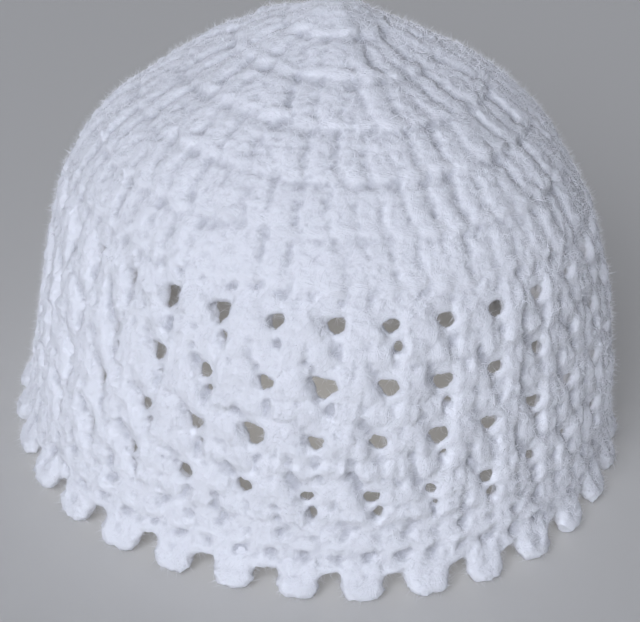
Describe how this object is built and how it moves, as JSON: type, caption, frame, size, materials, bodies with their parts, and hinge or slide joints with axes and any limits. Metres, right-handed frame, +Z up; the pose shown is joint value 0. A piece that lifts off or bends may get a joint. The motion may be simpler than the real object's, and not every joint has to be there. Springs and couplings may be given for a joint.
{
  "type": "baby beanie",
  "caption": "Crocheted baby beanie: domed crown, openwork band of raised ribs and eyelets, plain brim and a picot edging that it stands on.",
  "frame": {"origin": "centre of the rim circle, on the surface that the hat stands on", "axes": "+Z up through the crown, -Y towards the front"},
  "size_m": [0.1179, 0.1179, 0.081],
  "materials": {
    "white_yarn": "soft brushed acrylic yarn, matt, with a fine halo of fibres"
  },
  "bodies": {
    "root": {"crown": "white_yarn", "openwork_band": "white_yarn", "brim_band": "white_yarn", "picot_01": "white_yarn", "picot_02": "white_yarn", "picot_03": "white_yarn", "picot_04": "white_yarn", "picot_05": "white_yarn", "picot_06": "white_yarn", "picot_07": "white_yarn", "picot_08": "white_yarn", "picot_09": "white_yarn", "picot_10": "white_yarn", "picot_11": "white_yarn", "picot_12": "white_yarn", "picot_13": "white_yarn", "picot_14": "white_yarn", "picot_15": "white_yarn", "picot_16": "white_yarn", "picot_17": "white_yarn", "picot_18": "white_yarn", "picot_19": "white_yarn", "picot_20": "white_yarn", "picot_21": "white_yarn", "picot_22": "white_yarn", "picot_23": "white_yarn", "picot_24": "white_yarn", "picot_25": "white_yarn", "picot_26": "white_yarn", "picot_27": "white_yarn", "picot_28": "white_yarn", "picot_29": "white_yarn", "picot_30": "white_yarn", "picot_31": "white_yarn", "picot_32": "white_yarn", "picot_33": "white_yarn"}
  },
  "joints": []
}
